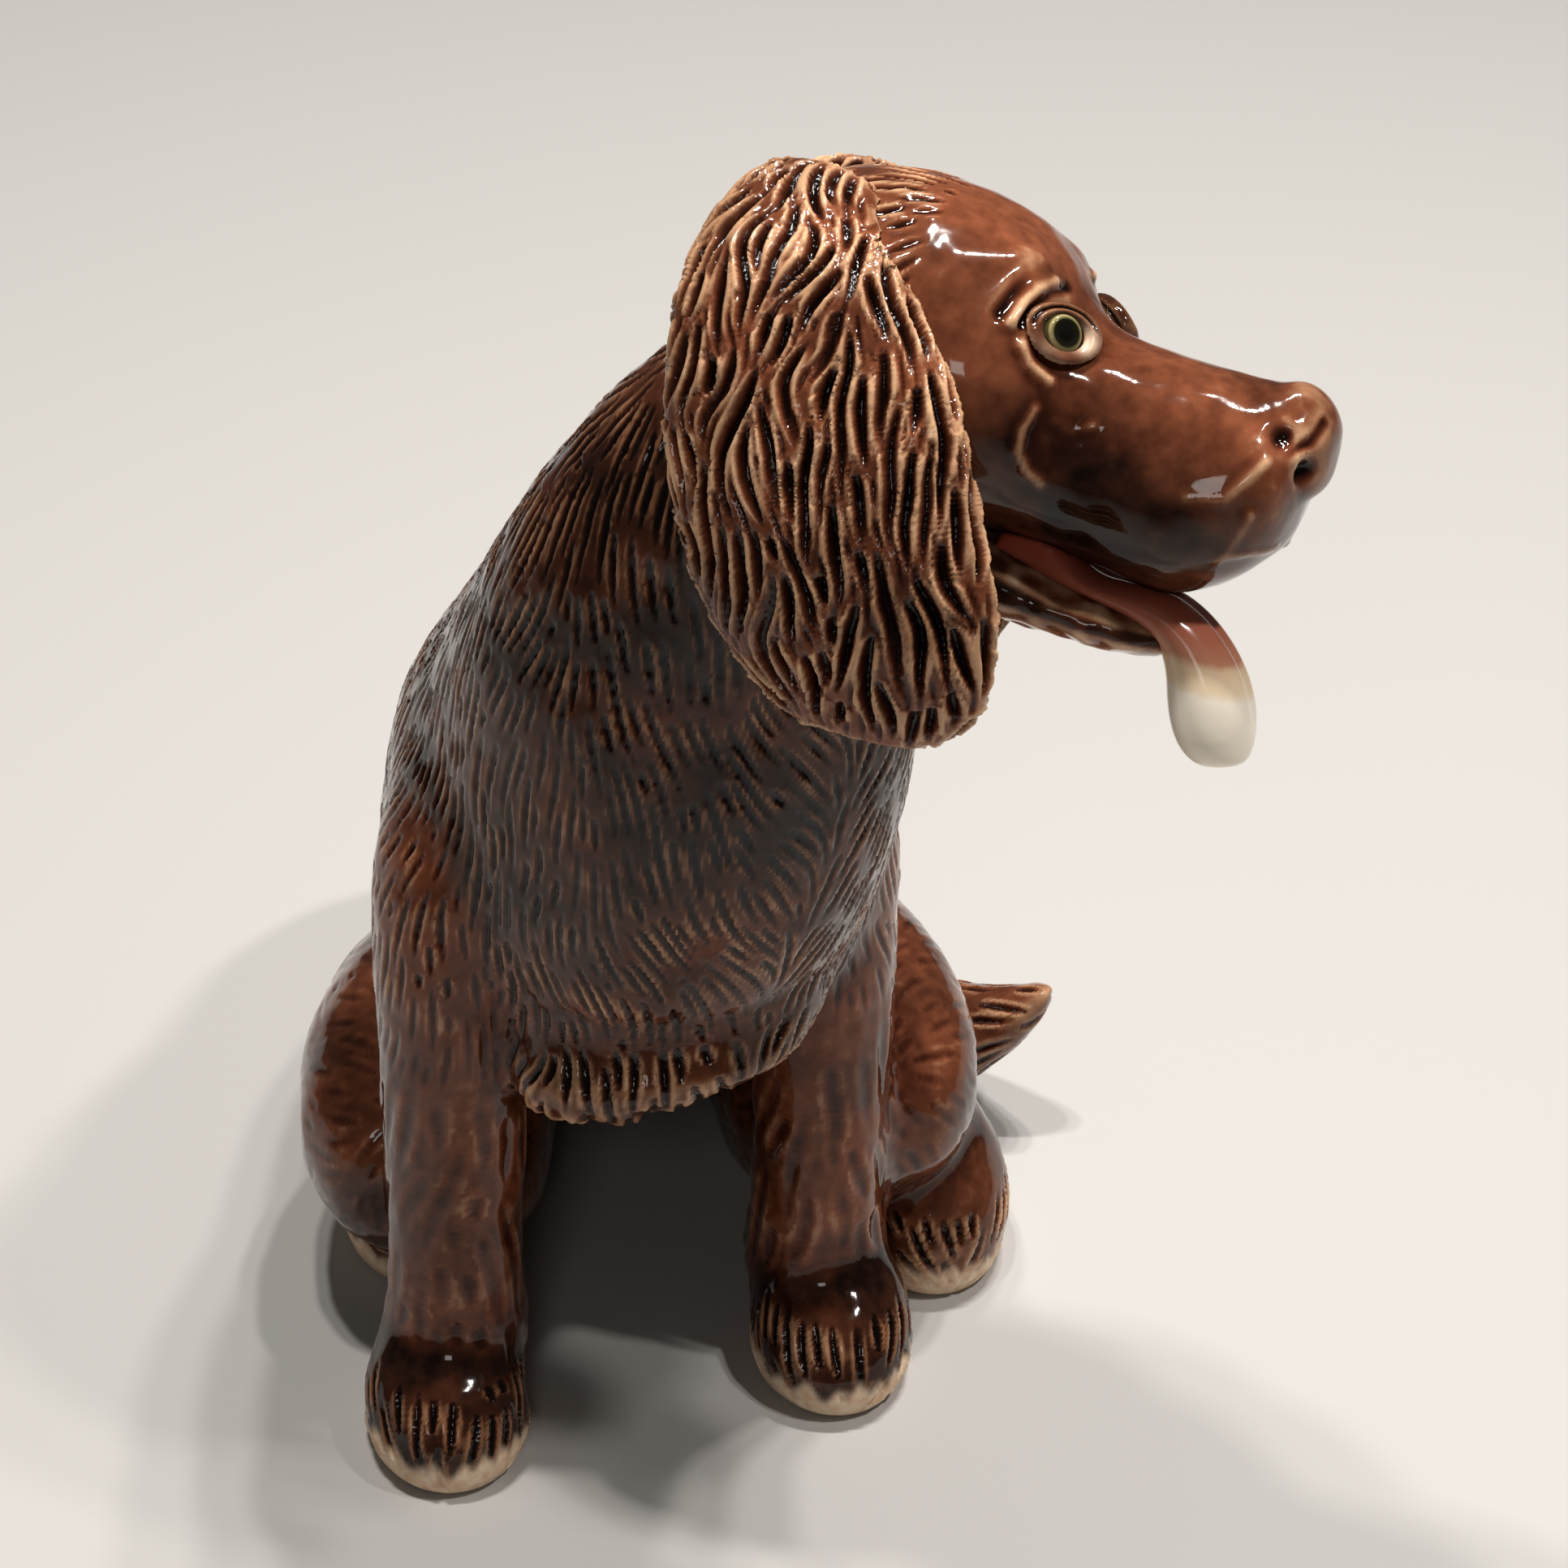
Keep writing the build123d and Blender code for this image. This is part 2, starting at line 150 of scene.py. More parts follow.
# %% Lamps and sky
lamps = (
    ("ceiling_lamp_a", (110.0, 190.0, 620.0), 26.0, 1.3),
    ("ceiling_lamp_b", (160.0, 180.0, 620.0), 26.0, 1.3),
    ("ceiling_lamp_c", (210.0, 170.0, 620.0), 26.0, 1.1),
    ("ceiling_lamp_d", (-110.0, 70.0, 640.0), 26.0, 1.2),
    ("ceiling_lamp_e", (-60.0, 60.0, 640.0), 26.0, 1.2),
    ("ceiling_lamp_f", (260.0, -120.0, 600.0), 26.0, 1.0),
    ("ceiling_lamp_g", (300.0, -90.0, 600.0), 26.0, 0.9),
    ("front_panel", (-160.0, -700.0, 560.0), 160.0, 0.5),
)
for name, place, side, watts in lamps:
    bpy.ops.object.light_add(type="AREA", location=row_place(place))
    lamp = bpy.context.object
    lamp.name = name
    lamp.data.size = side * MM
    lamp.data.energy = watts
    lamp.data.color = linear("#fffaf4")[:3]
    aim = row_place((8.0, 25.0, 60.0)) - lamp.location
    lamp.rotation_euler = aim.to_track_quat("-Z", "Y").to_euler()

sky = bpy.data.worlds.new("pale_room")
sky.use_nodes = True
sky.node_tree.nodes["Background"].inputs["Color"].default_value = linear("#e9e7e1")
sky.node_tree.nodes["Background"].inputs["Strength"].default_value = 0.07
bpy.context.scene.world = sky
bpy.context.scene.view_settings.view_transform = "Standard"
print("lamps", [name for name, *rest in lamps])

# %% [markdown]
# ## Clay forms
#
# A potter smooths each joint with a thumb until it disappears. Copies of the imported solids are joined, and a voxel
# remesh makes one even skin over them all, which a smoothing pass then rounds off at the joints. The even skin of
# small squares is also what the tool marks need later.

# %% Helpers for copies and skins
def only(piece):
    """Selects one piece and makes it active."""
    bpy.ops.object.select_all(action="DESELECT")
    piece.select_set(True)
    bpy.context.view_layer.objects.active = piece


def clay_copy(node, name):
    """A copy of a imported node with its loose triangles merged."""
    piece = bpy.data.objects.new(name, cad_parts[node].data.copy())
    bpy.context.collection.objects.link(piece)
    piece.data.materials.clear()
    only(piece)
    bpy.ops.object.mode_set(mode="EDIT")
    bpy.ops.mesh.select_all(action="SELECT")
    bpy.ops.mesh.remove_doubles(threshold=0.001 * MM)
    bpy.ops.object.mode_set(mode="OBJECT")
    return piece


def skin(piece, square, rounds):
    """Covers a closed piece with an even skin of squares and smooths it."""
    only(piece)
    bpy.ops.object.modifier_add(type="REMESH")
    piece.modifiers[-1].mode = "VOXEL"
    piece.modifiers[-1].voxel_size = square * MM
    bpy.ops.object.modifier_apply(modifier=piece.modifiers[-1].name)
    bpy.ops.object.modifier_add(type="SMOOTH")
    piece.modifiers[-1].factor = 0.5
    piece.modifiers[-1].iterations = rounds
    bpy.ops.object.modifier_apply(modifier=piece.modifiers[-1].name)
    bpy.ops.object.shade_smooth()


def largest_part(piece):
    """Separates a piece's loose parts and keeps only the largest."""
    only(piece)
    bpy.ops.object.mode_set(mode="EDIT")
    bpy.ops.mesh.select_all(action="SELECT")
    bpy.ops.mesh.separate(type="LOOSE")
    bpy.ops.object.mode_set(mode="OBJECT")
    parts = sorted(bpy.context.selected_objects, key=lambda part: part.dimensions.length)
    largest = parts.pop()
    for part in parts:
        bpy.data.objects.remove(part)
    return largest


def read_points(piece):
    """The vertices' layout places in millimetres, their normals and the edges, as arrays."""
    mesh = piece.data
    places = np.empty(len(mesh.vertices) * 3, dtype=np.float32)
    normals = np.empty_like(places)
    edges = np.empty(len(mesh.edges) * 2, dtype=np.int32)
    mesh.vertices.foreach_get("co", places)
    mesh.vertex_normals.foreach_get("vector", normals)
    mesh.edges.foreach_get("vertices", edges)
    places = places.reshape(-1, 3).astype(float) / MM + middle
    return places, normals.reshape(-1, 3).astype(float), edges.reshape(-1, 2)


def write_points(piece, places):
    """Moves the vertices to layout places."""
    piece.data.vertices.foreach_set("co", ((places - middle) * MM).astype(np.float32).ravel())
    piece.data.update()


def relaxed(values, edges, rounds):
    """Each vertex's values, averaged with its neighbours' over some rounds."""
    count = len(values)
    shares = np.bincount(edges.ravel(), minlength=count)[:, None] + 1.0
    values = values.reshape(count, -1).astype(float)
    for _ in range(rounds):
        total = values.copy()
        for column in range(values.shape[1]):
            total[:, column] += np.bincount(edges[:, 0], values[edges[:, 1], column], count)
            total[:, column] += np.bincount(edges[:, 1], values[edges[:, 0], column], count)
        values = total / shares
    return values


def smooth_step(values, low, high):
    """0 at low, 1 at high and a smooth rise between, for either order of the two."""
    share = np.clip((values - low) / (high - low), 0, 1)
    return share * share * (3 - 2 * share)


def keep_values(piece, name, values):
    """Stores one number per vertex on the mesh for the glaze to read."""
    layer = piece.data.attributes.new(name, "FLOAT", "POINT")
    layer.data.foreach_set("value", np.asarray(values, dtype=np.float32))


# %% Torso without its hollow
vent_place = (0.0, 60.0)
vent_width = 9.0
torso_wall = 5.0

torso = clay_copy("torso", "torso_clay")
centres = np.empty(len(torso.data.polygons) * 3, dtype=np.float32)
torso.data.polygons.foreach_get("center", centres)
centres = centres.reshape(-1, 3) / MM + middle
from_vent = np.hypot(centres[:, 0] - vent_place[0], centres[:, 1] - vent_place[1])
in_vent = (from_vent < vent_width / 2 + 0.01) & (centres[:, 2] < torso_wall - 0.01) & (centres[:, 2] > 0.01)
only(torso)
bpy.ops.object.mode_set(mode="EDIT")
bpy.ops.mesh.select_mode(type="FACE")
bpy.ops.mesh.select_all(action="DESELECT")
bpy.ops.object.mode_set(mode="OBJECT")
torso.data.polygons.foreach_set("select", in_vent)
bpy.ops.object.mode_set(mode="EDIT")
bpy.ops.mesh.delete(type="FACE")
bpy.ops.object.mode_set(mode="OBJECT")
torso = largest_part(torso)
only(torso)
bpy.ops.object.mode_set(mode="EDIT")
bpy.ops.mesh.select_all(action="SELECT")
bpy.ops.mesh.fill_holes(sides=0)
bpy.ops.object.mode_set(mode="OBJECT")
print("torso shell", torso.dimensions / MM)

# %% One skin over the luted pieces
luted_nodes = [
    "torso", "chest_fringe", "head", "nose", "tail",
    "foreleg_left", "foreleg_right", "forepaw_left", "forepaw_right",
    "haunch_left", "haunch_right", "hind_foot_left", "hind_foot_right",
]  # fmt: skip
body_square = 0.35
body_rounds = 34
sample_gap = 0.7
rng = np.random.default_rng(7)


def surface_samples(piece, gap):
    """Random layout places all over a piece, about one per square of the gap."""
    mesh = piece.data
    mesh.calc_loop_triangles()
    corners = np.empty(len(mesh.loop_triangles) * 3, dtype=np.int32)
    mesh.loop_triangles.foreach_get("vertices", corners)
    places = read_points(piece)[0]
    a, b, c = (places[corners.reshape(-1, 3)[:, k]] for k in range(3))
    areas = np.linalg.norm(np.cross(b - a, c - a), axis=1) / 2
    chosen = rng.choice(len(areas), int(areas.sum() / gap**2), p=areas / areas.sum())
    u, v = rng.random((2, len(chosen), 1))
    flip = u + v > 1
    u, v = np.where(flip, 1 - u, u), np.where(flip, 1 - v, v)
    return a[chosen] + u * (b - a)[chosen] + v * (c - a)[chosen]


def place_tree(places):
    """A search tree over places."""
    tree = kdtree.KDTree(len(places))
    for index, place in enumerate(places.tolist()):
        tree.insert(place, index)
    tree.balance()
    return tree


copies = {node: torso if node == "torso" else clay_copy(node, node + "_clay") for node in luted_nodes}
samples = [surface_samples(copies[node], sample_gap) for node in luted_nodes]
sample_node = np.repeat(np.arange(len(samples)), [len(rows) for rows in samples])
sample_tree = place_tree(np.concatenate(samples))

bpy.ops.object.select_all(action="DESELECT")
for piece in copies.values():
    piece.select_set(True)
body = copies["torso"]
bpy.context.view_layer.objects.active = body
bpy.ops.object.join()
skin(body, body_square, body_rounds)
body = largest_part(body)
body_places, body_normals, body_edges = read_points(body)
nearest = [sample_tree.find(place)[1] for place in body_places.tolist()]
body_node = sample_node[nearest]
votes = relaxed(np.eye(len(luted_nodes))[body_node], body_edges, 6)
body_node = votes.argmax(axis=1)
node_shares = relaxed(votes, body_edges, 10)
print("skin of", len(body_places), "points;", np.bincount(body_node, minlength=len(luted_nodes)).tolist())

# %% [markdown]
# ### Slip and thumb
#
# Under the chest the joints are too deep to smooth away, so slip is brushed in first: the skin is raised where two
# pieces share it. Then every point near a joint moves towards its neighbours again and again, as under a thumb. The
# nose keeps its edge, and so does the flat base.

# %% Thumbing the joints
slip_joints = (("torso", "chest_fringe", 1.8), ("torso", "foreleg_left", 0.7), ("torso", "foreleg_right", 0.7))
wide_shares = relaxed(node_shares, body_edges, 20)
for first, second, height in slip_joints:
    both = wide_shares[:, luted_nodes.index(first)] * wide_shares[:, luted_nodes.index(second)]
    body_places += body_normals * (4 * height * both)[:, None]

joint_spread = 160
nose_spread = 40
thumb_rounds = 220
thumb_strength = 0.6
near_joint = 1 - (relaxed(node_shares, body_edges, 12) ** 2).sum(axis=1)
wide_joint = relaxed(smooth_step(near_joint, 0.1, 0.3), body_edges, joint_spread)[:, 0]
thumbed = smooth_step(wide_joint, 0.06, 0.4) * smooth_step(body_places[:, 2], 1.0, 3.0)
nose_share = relaxed(node_shares[:, luted_nodes.index("nose")], body_edges, nose_spread)[:, 0]
thumbed *= smooth_step(nose_share, 0.25, 0.02)
for _ in range(thumb_rounds):
    body_places += thumb_strength * thumbed[:, None] * (relaxed(body_places, body_edges, 1) - body_places)
write_points(body, body_places)
body_places, body_normals, body_edges = read_points(body)
print("thumbed points", int((thumbed > 0.5).sum()))

# %% [markdown]
# ## Thumb marks
#
# Before the coat is cut, the maker presses and pinches the soft clay of the face. A mark is a soft round push along
# the surface: a brow, a cheek, a hollow beside the muzzle, a nostril. A fold is a pinched ridge or a drawn groove along
# a line, as round the eyes and the lips. Both are mirrored. Soft lumps then make the whole skin a little uneven.

# %% Pushing the clay
def push(places, normals, centre, width, height):
    """Raises the clay round a place, or presses it in where the height is negative."""
    away = np.linalg.norm(places - np.asarray(centre), axis=1)
    return places + normals * (height * np.exp(-((away / width) ** 2)))[:, None]


def fold(places, normals, line, width, height):
    """Pinches a ridge along a line of places, or draws a groove where the height is negative."""
    line = np.asarray(line)
    away = np.full(len(places), np.inf)
    for start, end in zip(line[:-1], line[1:]):
        along = np.clip((places - start) @ (end - start) / ((end - start) @ (end - start)), 0, 1)
        away = np.minimum(away, np.linalg.norm(places - start - along[:, None] * (end - start), axis=1))
    return places + normals * (height * np.exp(-((away / width) ** 2)))[:, None]


# Left, up and forward of the head's middle, then the width and the height of the mark
face_marks = (
    (6.4, 8.2, 6.6, 2.8, 0.7),
    (9.5, -3.0, 12.5, 3.6, -0.6),
    (7.6, -7.5, 20.0, 4.6, 0.8),
    (11.0, -6.0, 5.0, 5.0, 0.7),
    (4.2, 4.4, 12.2, 1.8, -0.6),
    (3.4, -1.8, 29.4, 0.8, -1.0),
    (5.0, 0.6, 27.6, 0.9, -0.8),
)
# The places along the fold, then its width and its height
face_folds = (
    (((9.9, 4.4, 7.3), (8.9, 5.4, 7.5), (7.2, 6.6, 7.8), (5.1, 7.3, 8.3)), 0.5, 0.5),
    (((9.3, 4.5, 8.0), (8.4, 5.7, 8.2), (6.0, 6.8, 8.4), (3.5, 7.0, 9.0)), 0.4, -0.5),
    (((10.4, 5.0, 6.5), (9.3, 6.3, 6.7), (7.3, 7.5, 7.0), (5.0, 8.1, 7.6)), 0.5, -0.35),
    (((9.8, 3.0, 8.4), (9.6, 1.8, 9.2), (8.7, 0.8, 10.6)), 0.5, 0.35),
    (
        ((9.7, -1.3, 10.5), (10.1, -2.9, 9.9), (10.0, -4.6, 9.9), (9.2, -5.8, 10.6), (8.6, -6.6, 11.6)),
        0.45,
        0.35,
    ),
    (((9.0, -1.9, 11.9), (8.5, -2.4, 13.1), (7.9, -1.7, 14.3)), 0.4, 0.3),
    (((6.1, -5.4, 26.7), (5.6, -7.5, 25.9), (5.1, -9.1, 24.9)), 0.4, 0.18),
    (((1.8, -7.9, 28.1), (4.0, -8.3, 26.9), (5.1, -8.7, 25.4)), 0.4, 0.18),
    (((7.5, -5.2, 22.1), (7.0, -4.6, 24.9), (6.2, -1.4, 27.0)), 0.5, 0.2),
    (((5.2, -0.5, 28.4), (3.5, 0.4, 29.3), (2.2, 1.9, 29.7)), 0.4, -0.3),
)
for left, up, forward, width, height in face_marks:
    for side in (-1, 1):
        centre = head_place(side * left, up, forward)
        body_places = push(body_places, body_normals, centre, width, height)
for line, width, height in face_folds:
    for side in (-1, 1):
        side_line = [head_place(side * left, up, forward) for left, up, forward in line]
        body_places = fold(body_places, body_normals, side_line, width, height)
lump_sizes = ((6.0, 0.22), (2.2, 0.08))
for size, height in lump_sizes:
    lumps = np.array([noise.noise(place) for place in (body_places / size).tolist()])
    body_places += body_normals * (height * lumps * smooth_step(body_places[:, 2], 0.5, 3.0))[:, None]
write_points(body, body_places)
body_places, body_normals, body_edges = read_points(body)
print("face marks and folds", 2 * len(face_marks), 2 * len(face_folds))

# %% [markdown]
# ### Vent
#
# The hollow can't be seen, so the skin is closed and the kiln vent is only a blind recess under the base.

# %% Vent under the base
vent_shown = 3.0
from_vent = np.hypot(body_places[:, 0] - vent_place[0], body_places[:, 1] - vent_place[1])
under = body_places[:, 2] < 1.0
body_places[under, 2] += vent_shown * smooth_step(from_vent[under], vent_width / 2 + 0.2, vent_width / 2 - 0.5)
write_points(body, body_places)
body_places, body_normals, body_edges = read_points(body)
print("vent points", int((under & (from_vent < vent_width / 2)).sum()))

# %% [markdown]
# ## Coat
#
# The coat is cut with a wire tool in short strokes that follow the hair. A stroke starts at any bare spot, follows
# the flow of the hair over the skin and stops where it meets another stroke, so the strokes share the surface evenly
# as they do by hand. Each stroke then becomes a groove with a soft rim.

# %% Strokes that follow the hair
def turned(flow, places, normals, wave, sway):
    """A flow along the skin that swings to both sides, over waves of some millimetres."""
    flow = flow - normals * (flow * normals).sum(axis=1)[:, None]
    flow = flow / np.maximum(np.linalg.norm(flow, axis=1), 1e-6)[:, None]
    swing = np.array([noise.noise(place) for place in (places / wave).tolist()]) * sway
    return flow * np.cos(swing)[:, None] + np.cross(normals, flow) * np.sin(swing)[:, None]


def lay_strokes(tree, places, normals, flow, bare, gap, reach):
    """Strokes along the flow, a gap apart: their points, how far along each is, and the weights."""
    step = gap * 0.3
    cells = {}
    points, along, weights = [], [], []
    around = [(i, j, k) for i in (-1, 0, 1) for j in (-1, 0, 1) for k in (-1, 0, 1)]

    def crowded(spot, room, number):
        """Whether another stroke lies within some room of a spot."""
        i, j, k = (int(share // gap) for share in spot)
        for di, dj, dk in around:
            for other, owner in cells.get((i + di, j + dj, k + dk), ()):
                if owner != number and math.dist(spot, other) < room:
                    return True
        return False

    for number, start in enumerate(rng.permutation(np.flatnonzero(bare)).tolist()):
        if crowded(places[start].tolist(), gap, number):
            continue
        steps = int(reach * rng.uniform(0.5, 1.3) / step)
        trails = []
        for way, count in ((1, steps // 2), (-1, steps - steps // 2)):
            spot, index, trail = places[start], start, []
            for _ in range(count):
                spot = spot + way * step * flow[index]
                index = tree.find(spot)[1]
                spot = spot - normals[index] * ((spot - places[index]) @ normals[index])
                if not bare[index] or crowded(spot.tolist(), gap * 0.7, number):
                    break
                trail.append(spot.tolist())
            trails.append(trail)
        stroke = trails[1][::-1] + [places[start].tolist()] + trails[0]
        for spot in stroke:
            cells.setdefault(tuple(int(share // gap) for share in spot), []).append((spot, number))
        if len(stroke) > 4:
            points.extend(stroke)
            along.extend(np.linspace(0, 1, len(stroke)))
            weights.extend([rng.uniform(0.65, 1.15)] * len(stroke))
    return np.array(points), np.array(along), np.array(weights)


def cut_strokes(places, strokes, share, width, depth, rim):
    """The height of the skin after the strokes are cut, as one number per vertex."""
    points, along, weights = strokes
    tree = place_tree(points)
    found = [tree.find(place)[1:] for place in places.tolist()]
    nearest = np.array([index for index, away in found])
    away = np.array([away for index, away in found])
    taper = np.clip(np.sin(np.pi * along[nearest] ** 0.8), 0.03, 1) ** 0.6
    across = away / (width / 2 * (0.35 + 0.65 * taper))
    groove = np.clip(1 - across**2, 0, 1) ** 1.4
    shoulder = np.exp(-(((across - 1.35) / 0.5) ** 2))
    return share * taper * weights[nearest] * (rim * shoulder - depth * groove)


def share_of(*nodes):
    """How much each point of the body's skin belongs to these nodes."""
    return node_shares[:, [luted_nodes.index(node) for node in nodes]].sum(axis=1)


body_tree = place_tree(body_places)
x, y, z = body_places.T
in_head = (body_places - head_middle) @ head_axes.T

# %% Strokes on the chest, neck and back
parting = 12.0 + 0.25 * (z - 60.0)
lean_places = (-36, -28, -20, -10, -2, 2, 10, 25)
lean_shares = (-0.55, -0.35, 0.05, 0.45, 0.7, -0.7, -0.6, -0.35)
front = smooth_step(body_normals[:, 1], 0.6, -0.1)[:, None]
lean = np.interp(x - parting, lean_places, lean_shares) * (0.3 + 0.7 * smooth_step(z, 45.0, 56.0))
chest_flow = np.stack((lean, 0 * z, 0 * z - 1), axis=1)
back_flow = np.stack((0.02 * (x - 3.0), 0 * z + 0.5, 0 * z - 0.87), axis=1)
coat_flow = turned(front * chest_flow + (1 - front) * back_flow, body_places, body_normals, 9.0, 0.5)
coat_share = share_of("torso") * smooth_step(z, 0.8, 4.0)
coat = lay_strokes(body_tree, body_places, body_normals, coat_flow, coat_share > 0.4, 0.95, 8.0)
heights = cut_strokes(body_places, coat, coat_share, 0.75, 0.36, 0.08)
print("coat strokes", int((coat[1] == 0).sum()))

# %% Strokes on the haunches, tail, legs, paws and the back of the head
tail_flow = np.array((0.88, -0.43, 0.19)) + 0 * body_places
leg_flow = np.stack((0 * z, 0.2 + 0 * z, 0 * z - 1), axis=1)
haunch_flow = np.stack((0 * z, 0.7 + 0 * z, 0 * z - 0.7), axis=1)
nape_flow = np.stack((0.25 * in_head[:, 0], 0 * z - 4.0, 0 * z - 5.0), axis=1) @ head_axes
toe_middles = {
    "forepaw_right": (-16.8, 8.0, 9.0),
    "forepaw_left": (17.4, 15.0, 9.0),
    "hind_foot_left": (27.0, 31.0, 10.0),
    "hind_foot_right": (-17.5, 36.0, 10.0),
}
tuft_size = np.array((1.8, 1.8, 6.0))
tuft_drop = 1.6
tufts = np.array([noise.noise(place) for place in (body_places / tuft_size).tolist()])
tuft_share = share_of("chest_fringe") * smooth_step(z, 42.0, 38.5)
haunches = share_of("haunch_left", "haunch_right")
forelegs = share_of("foreleg_left", "foreleg_right")
# Where the strokes lie, their flow and its sway, then the strokes' gap, reach, width, depth and rim
groups = [
    (share_of("chest_fringe"), chest_flow, 0.9, 1.3, 7.0, 1.0, 0.55, 0.15),
    (haunches * smooth_step(z, 1, 6), haunch_flow, 0.9, 1.6, 5.0, 1.1, 0.09, 0.03),
    (share_of("tail"), tail_flow, 0.4, 1.3, 6.0, 0.9, 0.28, 0.1),
    (forelegs * smooth_step(z, 30, 50), leg_flow, 0.4, 1.2, 6.0, 0.8, 0.28, 0.08),
    (forelegs * smooth_step(z, 42, 30), leg_flow, 0.5, 2.2, 12.0, 1.8, 0.14, 0.08),
    (share_of("head") * smooth_step(in_head[:, 2], 2.0, -4.0), nape_flow, 0.6, 1.1, 5.0, 0.85, 0.4, 0.12),
]
for node, toe_middle in toe_middles.items():
    away = body_places - np.array(toe_middle)
    share = share_of(node) * smooth_step(away[:, 1], 3.0, -3.0)
    share = share * smooth_step(z, 9.5, 7.0) * smooth_step(z, 0.2, 0.9)
    groups.append((share, away * (1, 1, 0.6), 0.3, 1.35, 8.0, 0.85, 0.5, 0.14))
for share, flow, sway, gap, reach, width, depth, rim in groups:
    flow = turned(flow, body_places, body_normals, 8.0, sway)
    strokes = lay_strokes(body_tree, body_places, body_normals, flow, share > 0.3, gap, reach)
    heights += cut_strokes(body_places, strokes, share, width, depth, rim)
body_places = body_places + body_normals * heights[:, None]
body_places[:, 2] += tuft_drop * tufts * tuft_share
write_points(body, body_places)
print("deepest stroke", heights.min().round(2), "mm")

# %% [markdown]
# ## Where the glaze breaks
#
# A glaze runs off ridges, where it turns thin and tan, and pools in the grooves, where it is almost black. How far a
# point stands above its smoothed neighbourhood says which it is. That number, the tone and the bare rim under the paws,
# which is wiped clean before firing, are stored on the mesh for the materials. The tone is the depth of the glaze with
# painted shade and painted light laid into it: dark high on the neck under the ear, light on the forelegs as a painted
# reflection of the table, and lighter marks on the face.

# %% Relief of a skin
def relief_of(piece, rounds, reach):
    """How far each point stands out of its neighbourhood: 0.5 is level, 1 is the reach above it."""
    places, normals, edges = read_points(piece)
    smooth = relaxed(places, edges, rounds)
    return np.clip(0.5 + 0.5 * ((places - smooth) * normals).sum(axis=1) / reach, 0, 1)


# Each node's tone. The torso's low tone is partly painted shade, as the neck lies under the ear, and the forelegs' high
# tone is partly a painted reflection of the white table.
node_tones_with_painted_light = {
    "torso": 0.12, "chest_fringe": 0.4, "head": 0.6, "nose": 0.7, "tail": 0.55,
    "foreleg_left": 0.78, "foreleg_right": 0.78, "forepaw_left": -0.15, "forepaw_right": -0.15,
    "haunch_left": 0.55, "haunch_right": 0.45, "hind_foot_left": 0.5, "hind_foot_right": 0.4,
}  # fmt: skip
# Left, up and forward of the head's middle, then the width of the mark and the change of tone
# The lighter marks on the crown, the bridge of the muzzle and the cheeks are painted light; the darker ones lie low on
# the muzzle and the cheeks.
tone_and_painted_light_marks = (
    (3.0, 9.0, 4.0, 7.0, 0.4),
    (0.0, 3.0, 19.0, 4.0, 0.2),
    (7.9, -5.9, 15.9, 3.6, -0.4),
    (7.0, -8.2, 19.0, 4.5, -0.7),
    (6.3, -8.8, 22.9, 4.0, -0.5),
    (6.8, -8.9, 13.8, 4.0, -0.6),
    (10.5, -5.0, 8.3, 4.0, -0.1),
    (10.5, 0.5, 5.5, 4.5, 0.3),
)
body_relief = relief_of(body, 9, 0.24)
body_tone_and_painted_light = node_shares @ np.array([node_tones_with_painted_light[node] for node in luted_nodes])
# Painted shade over the glaze's own dark: the torso stays dark high on the neck and on the dog's right, under the ear,
# and turns lighter lower down and towards its left, where the lamps fall.
body_tone_and_painted_light += 0.42 * share_of("torso") * smooth_step(z - 0.4 * x, 66.0, 42.0)
for left, up, forward, width, change in tone_and_painted_light_marks:
    for side in (-1, 1):
        away = np.linalg.norm(body_places - head_place(side * left, up, forward), axis=1)
        body_tone_and_painted_light += change * np.exp(-((away / width) ** 2)) * share_of("head")
paw_share = share_of("forepaw_left", "forepaw_right", "hind_foot_left", "hind_foot_right")
ragged = 0.6 * np.sin(2.1 * x) * np.cos(1.7 * y + 0.8 * x)
body_bare = paw_share * smooth_step(z + 1.4 * ragged, 3.9, 2.5) + smooth_step(z, 0.5, 0.2)
body_bare = np.clip(body_bare, 0, 1)
print("relief", body_relief.min().round(2), body_relief.max().round(2))

# %% [markdown]
# ## One piece for each part of the model
#
# The skin is cut along the luted joints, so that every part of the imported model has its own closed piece. The cut
# edges are marked sharp, so the shading runs on across a joint as if it weren't there.

# %% Cutting the skin along the joints
corners = np.empty(len(body.data.loops), dtype=np.int32)
body.data.loops.foreach_get("vertex_index", corners)
squares = corners.reshape(-1, 4)
square_node = votes[squares].sum(axis=1).argmax(axis=1)
glazed = {}


def close_piece(piece):
    """Marks a piece's open edges sharp and closes them with hidden caps."""
    only(piece)
    bpy.ops.object.mode_set(mode="EDIT")
    bpy.ops.mesh.select_mode(type="EDGE")
    bpy.ops.mesh.select_all(action="DESELECT")
    bpy.ops.mesh.select_non_manifold(use_wire=False, use_multi_face=False, use_non_contiguous=False, use_verts=False)
    bpy.ops.mesh.mark_sharp()
    bpy.ops.mesh.fill_holes(sides=0)
    bpy.ops.mesh.select_mode(type="FACE")
    bpy.ops.mesh.select_face_by_sides(number=4, type="GREATER", extend=False)
    bpy.ops.mesh.poke()
    bpy.ops.object.mode_set(mode="OBJECT")
    bpy.ops.object.shade_smooth()


